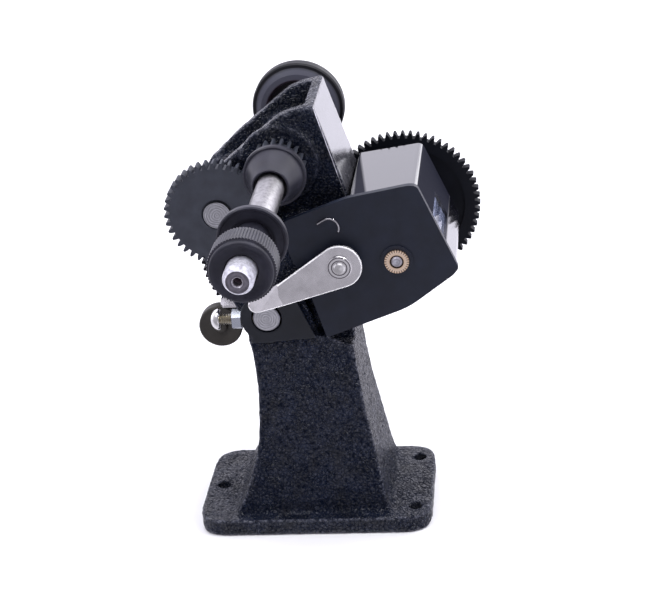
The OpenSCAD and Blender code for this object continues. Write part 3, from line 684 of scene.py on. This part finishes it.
def build_friction_screw():
    """The friction screw: a domed head with a slot across it, then a threaded shank."""
    low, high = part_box("friction_screw")
    length = (high.x - low.x) / MM
    pitch, core, crest = 1.0, 2.0, 2.5
    slot_depth, slot_half_width, dome_end = 1.1, 0.8, 3.0
    shank_start, rows_per_pitch = 4.25, 8
    head = [(0.02, 0.05), (1.2, 0.15), (2.4, 0.45), (3.4, 1.05), (4.1, 1.75), (4.6, 2.7), (4.75, 3.3),
            (4.72, 3.9), (4.5, 4.15), (crest, 4.2)]
    shank = length - shank_start
    steps = int(shank / pitch * rows_per_pitch)
    profile = head + [(crest, shank_start + shank * i / steps) for i in range(steps + 1)]

    def shaped(i, r, y, a):
        if i >= len(head):
            phase = y / pitch - a / (2 * math.pi)
            r = core + (crest - core) * abs(2 * (phase % 1.0) - 1)
        elif y < dome_end:
            across = abs(math.cos(a)) * r
            y += slot_depth * max(0.0, 1 - (across / slot_half_width) ** 4)
        return r, y

    centre = Matrix.Translation((low.x, (low.y + high.y) / 2, (low.z + high.z) / 2))
    place = centre @ Matrix.Rotation(math.radians(-90), 4, "Z")
    screw = lathe("friction_screw_threaded", "frame", place, profile, YELLOWED, 48, shaped,
                  closed_ends=True, instead_of="friction_screw")
    screw.data.materials.append(CHROME)
    for polygon in screw.data.polygons:
        if polygon.center.x < low.x + (shank_start + 0.05) * MM:
            polygon.material_index = 1
    finish_mesh(screw, angle=50)


def tangent_outline(discs, steps=20, least_gap=0.7):
    """Outline round a chain of discs (x, z, r): straight runs between them, round at both ends."""
    upper, lower = [], []
    for (x0, z0, r0), (x1, z1, r1) in zip(discs, discs[1:]):
        heading = math.atan2(z1 - z0, x1 - x0)
        lean = math.acos((r0 - r1) / math.hypot(x1 - x0, z1 - z0))
        upper.append(heading + lean)
        lower.append(heading - lean)
    points = []

    def arc(disc, a0, a1, n):
        for k in range(n + 1):
            a = a0 + (a1 - a0) * k / n
            points.append((disc[0] + disc[2] * math.cos(a), disc[1] + disc[2] * math.sin(a)))

    last = len(discs) - 1
    arc(discs[0], upper[0], lower[0] + 2 * math.pi, steps * 2)
    for i in range(1, last):
        arc(discs[i], lower[i - 1], lower[i], 3)
    arc(discs[last], lower[-1], upper[-1], steps)
    for i in range(last - 1, 0, -1):
        arc(discs[i], upper[i], upper[i - 1], 3)
    spaced = points[:1]
    for point in points[1:]:
        if math.dist(point, spaced[-1]) > least_gap and math.dist(point, spaced[0]) > least_gap:
            spaced.append(point)
    return spaced


def build_lever():
    """The reset lever's plate, with a painted highlight on its bevelled edge and its free end bent away from
    the plates.
    """
    front, back = -34.6, -32.8
    x0, z0 = LEVER.x / MM, LEVER.z / MM
    outline = tangent_outline([(x0, z0, 9.7), (-4.6, 121.0, 4.9), (-15.0, 118.0, 3.9)])
    hole_radius, hole_points = 3.05, 24
    hole = []
    for k in range(hole_points):
        a = 2 * math.pi * k / hole_points
        hole.append((x0 + hole_radius * math.cos(a), z0 + hole_radius * math.sin(a)))
    bend_x, slope = -5.6, 0.21
    bm = bmesh.new()
    for y in (front, back):
        edges = []
        for points in (outline, hole):
            ring = [bm.verts.new(Vector((x, y - max(0.0, bend_x - x) * slope, z)) * MM) for x, z in points]
            edges += [bm.edges.new((ring[i], ring[(i + 1) % len(ring)])) for i in range(len(ring))]
        bmesh.ops.triangle_fill(bm, edges=edges, use_beauty=True)
    bm.verts.ensure_lookup_table()
    n, m = len(outline), len(hole)
    layer = n + m
    for start, count in ((0, n), (n, m)):
        for k in range(count):
            a, b = start + k, start + (k + 1) % count
            bm.faces.new([bm.verts[i] for i in (a, b, b + layer, a + layer)])
    cut(bm, (bend_x * MM, 0, 0), (1, 0, 0))
    bmesh.ops.recalc_face_normals(bm, faces=bm.faces)
    mesh = bpy.data.meshes.new("reset_lever_plate")
    bm.to_mesh(mesh)
    bm.free()
    obj = shown("reset_lever_plate", mesh)
    paint(obj, NICKEL, PAINTED_EDGE_HIGHLIGHT)
    settle(obj, "lever", "reset_lever")
    bevel = bevel_edges(obj, 0.5, 30, 3)
    # The bevel takes the second material, the painted edge highlight
    bevel.material = 1
    bevel.use_clamp_overlap = False


def build_washer():
    """The washer under the lever's rivet, with two grooves in its face."""
    low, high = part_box("reset_collar")
    bore = 1.56
    deep = (high.y - low.y) / MM
    profile = [
        (bore, 0.0), (2.4, 0.0), (3.1, 0.0), (3.2, 0.14), (3.4, 0.14), (3.5, 0.0), (4.5, 0.0), (4.6, 0.16),
        (4.8, 0.16), (4.9, 0.02), (5.2, 0.06), (5.38, 0.3), (5.4, 0.6), (5.4, 0.92), (5.0, 0.94),
        (3.0, 0.96), (3.0, 2.9), (5.0, 2.95), (5.0, deep), (bore, deep),
    ]
    washer = lathe("pivot_washer", "frame", about(LEVER, low.y), profile, LEVER_NICKEL, 96,
                   instead_of="reset_collar")
    finish_mesh(washer, angle=40)


def build_spring_wire():
    """The bent wire by the plate: an arc that runs out to a short straight end."""
    low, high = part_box("spring_wire")
    centre = Vector((18.1 * MM, (low.y + high.y) / 2, 149.5 * MM))
    loop, straight, wire = 4.3 * MM, 3.2 * MM, 0.42 * MM
    first, last, steps = -24, 120, 14
    angles = [math.radians(first + (last - first) * k / steps) for k in range(steps + 1)]
    points = [centre + loop * Vector((math.cos(a), 0, math.sin(a))) for a in angles]
    points.append(points[-1] + straight * Vector((-math.sin(angles[-1]), 0, math.cos(angles[-1]))))
    curve = bpy.data.curves.new("lever_spring", "CURVE")
    curve.dimensions = "3D"
    curve.bevel_depth = wire
    curve.bevel_resolution = 5
    curve.use_fill_caps = True
    line = curve.splines.new("POLY")
    line.points.add(len(points) - 1)
    for point, place in zip(line.points, points):
        point.co = (*place, 1)
    source = shown("lever_spring_curve", curve)
    mesh = evaluated_mesh(source)
    bpy.data.objects.remove(source)
    obj = shown("lever_spring", mesh)
    paint(obj, SPRING_STEEL)
    settle(obj, "frame", "spring_wire")
    finish_mesh(obj, angle=60)


# ---------------------------------------------------------------- pieces that add detail


def build_worn_edge():
    """A thin strip of bright metal along the head's sloping front corner."""
    foot, top = Vector((25.35, -11.0, 153.0)), Vector((13.35, -11.0, 197.6))
    run = (top - foot).normalized()
    out = Vector((run.z, 0, -run.x))
    steps = 60
    verts, faces = [], []
    for i in range(steps + 1):
        t = i / steps
        strip_width = 0.5 + 0.22 * math.sin(23 * t) + 0.16 * math.sin(61 * t + 1.2)
        centre = foot.lerp(top, t)
        for across, lift in ((-strip_width, 0.08), (0.1, 0.22), (strip_width, 0.13)):
            verts.append((centre + Vector((0, across * 0.7, 0)) + out * lift) * MM)
    for i in range(steps):
        for k in (i * 3, i * 3 + 1):
            faces.append((k, k + 1, k + 4, k + 3))
    strip = new_piece("head_bright_corner_strip", "frame", verts, faces, BRIGHT_CORNER_STRIP)
    strip.modifiers.new("thick", "SOLIDIFY").thickness = 0.08 * MM
    finish_mesh(strip, angle=60)


def digit_mesh(digit, size):
    curve = bpy.data.curves.new("digit", "FONT")
    curve.body = str(digit)
    curve.size = size
    curve.align_x = "CENTER"
    curve.align_y = "CENTER"
    curve.extrude = 0.06 * MM
    source = shown("digit", curve)
    mesh = evaluated_mesh(source)
    bpy.data.objects.remove(source)
    return mesh


def build_numbers(wheel, body):
    """The ten digits round one counter wheel, wrapped on its rim; 0 faces the window at rest."""
    low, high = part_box(wheel)
    radius = (high.x - low.x) / 2
    rim_mid = low.y + (high.y - low.y) * 0.42
    size, strip, lift = 7.0 * MM, 0.7 * MM, 0.05 * MM
    bm = bmesh.new()
    for digit in range(10):
        mesh = digit_mesh(digit, size)
        part = bmesh.new()
        part.from_mesh(mesh)
        for k in range(-4, 5):
            cut(part, (0, k * strip, 0), (0, 1, 0))
        middle = WINDOW_ANGLE - math.radians(36) * digit
        for v in part.verts:
            a = middle + v.co.y / radius
            r = radius + lift + v.co.z
            v.co = Vector((COUNTER.x + r * math.cos(a), rim_mid + v.co.x, COUNTER.z + r * math.sin(a)))
        part.to_mesh(mesh)
        part.free()
        bm.from_mesh(mesh)
    bmesh.ops.remove_doubles(bm, verts=bm.verts, dist=1e-6)
    bmesh.ops.recalc_face_normals(bm, faces=bm.faces)
    name = wheel.replace("_wheel", "_numbers")
    mesh = bpy.data.meshes.new(name)
    bm.to_mesh(mesh)
    bm.free()
    obj = shown(name, mesh)
    paint(obj, DIGIT_INK)
    settle(obj, body)


# ---------------------------------------------------------------- stage, light and camera


def build_floor():
    """Pale paper; for glossy rays it glows instead, a painted light that fades from grey near the camera to
    bright behind the object.
    """
    bpy.ops.mesh.primitive_plane_add(size=8, location=(0, 0, -0.4 * MM))
    floor = bpy.context.object
    floor.name = "floor"
    g = Graph("floor_white")
    g.set(Base_Color=mottled(g, (0.9, 0.9, 0.905), 4, 0.01), Roughness=0.75)
    x, y, _ = g.split(g.geometry("Position"))
    strength = g.add("ShaderNodeMix", data_type="FLOAT")
    g.link(g.between(y, -0.2, 0.0, smooth=True), strength.inputs[0])
    g.link(g.between(x, 0.0, 0.09, 0.42, 0.85, smooth=True), strength.inputs[2])
    g.link(g.between(y, 0.1, 0.4, 1.0, 1.9, smooth=True), strength.inputs[3])
    glow = g.add("ShaderNodeEmission", Color=(0.96, 0.94, 1.06, 1))
    g.link(strength.outputs[0], glow.inputs["Strength"])
    g.cover(g.add("ShaderNodeLightPath").outputs["Is Glossy Ray"], glow)
    paint(floor, g.material)


def area_light(name, place, size, power):
    """A lamp size (width, height) that faces the middle of the object."""
    data = bpy.data.lights.new(name, "AREA")
    data.shape = "RECTANGLE"
    data.size, data.size_y = size
    data.energy = power
    light = shown(name, data)
    light.location = place
    middle = Vector((0, 0, 0.1))
    light.rotation_euler = (middle - Vector(place)).to_track_quat("-Z", "Y").to_euler()


def build_light():
    """A bright sweep behind the object and a darker room in front, two small lamps and two broad ones."""
    world = bpy.data.worlds.new("studio")
    bpy.context.scene.world = world
    world.use_nodes = True
    tree = world.node_tree
    background = tree.nodes["Background"]
    background.inputs["Color"].default_value = (0.955, 0.935, 1.06, 1)
    split = tree.nodes.new("ShaderNodeSeparateXYZ")
    tree.links.new(tree.nodes.new("ShaderNodeTexCoord").outputs["Generated"], split.inputs[0])
    mix = tree.nodes.new("ShaderNodeMix")
    mix.data_type = "FLOAT"
    overhead, front_to_back = mix.inputs[0], mix.inputs[2]
    for axis, values, target in (
        (1, (-0.5, 0.7, 0.45, 1.75), front_to_back),
        (2, (0.45, 0.95, 0.0, 1.0), overhead),
    ):
        node = tree.nodes.new("ShaderNodeMapRange")
        node.interpolation_type = "SMOOTHSTEP"
        for name, value in zip(("From Min", "From Max", "To Min", "To Max"), values):
            node.inputs[name].default_value = value
        tree.links.new(split.outputs[axis], node.inputs["Value"])
        tree.links.new(node.outputs[0], target)
    mix.inputs[3].default_value = 1.05
    tree.links.new(mix.outputs[0], background.inputs["Strength"])
    area_light("key", (-0.9, -0.5, 1.5), (0.22, 0.22), 9)
    area_light("glint", (0.8, -0.1, 1.4), (0.2, 0.2), 8)
    area_light("top", (0.1, 0.3, 1.7), (1.2, 1.2), 10)
    area_light("rear", (0.9, 1.4, 0.9), (1.2, 1.0), 8)


def build_camera():
    """The photograph's view: above and to the right of the spindle's free end, with a slight roll."""
    focal_px, frame_px = 1719.7, 655
    pitch, yaw, roll = (math.radians(a) for a in (24.1, -7.47, -5.05))
    place = (0.10369, -0.70749, 0.42077)
    forward = Vector((math.sin(yaw) * math.cos(pitch), math.cos(yaw) * math.cos(pitch), -math.sin(pitch)))
    level_right = Vector((math.cos(yaw), -math.sin(yaw), 0))
    level_up = level_right.cross(forward)
    right = math.cos(roll) * level_right + math.sin(roll) * level_up
    up = -math.sin(roll) * level_right + math.cos(roll) * level_up
    data = bpy.data.cameras.new("camera")
    data.sensor_fit = "HORIZONTAL"
    data.sensor_width = 36
    data.lens = focal_px / frame_px * data.sensor_width
    data.clip_start = 0.01
    camera = shown("camera", data)
    camera.matrix_world = Matrix.Translation(place) @ Matrix((right, up, -forward)).transposed().to_4x4()
    bpy.context.scene.camera = camera


# ---------------------------------------------------------------- the whole scene

for look, names in CAD_LOOKS:
    for node_name in names.split():
        paint(nodes[node_name], look)
        finish_mesh(nodes[node_name], BEVELS.get(node_name, USUAL_BEVEL))
build_casting()
build_clamp_nut()
build_friction_screw()
build_lever()
build_washer()
build_worn_edge()
build_spring_wire()
build_numbers("units_wheel", "counter_input")
build_numbers("tens_wheel", "tens")
build_numbers("hundreds_wheel", "hundreds")
build_numbers("thousands_wheel", "thousands")
build_floor()
build_light()
build_camera()
bpy.context.scene.view_settings.view_transform = "Standard"
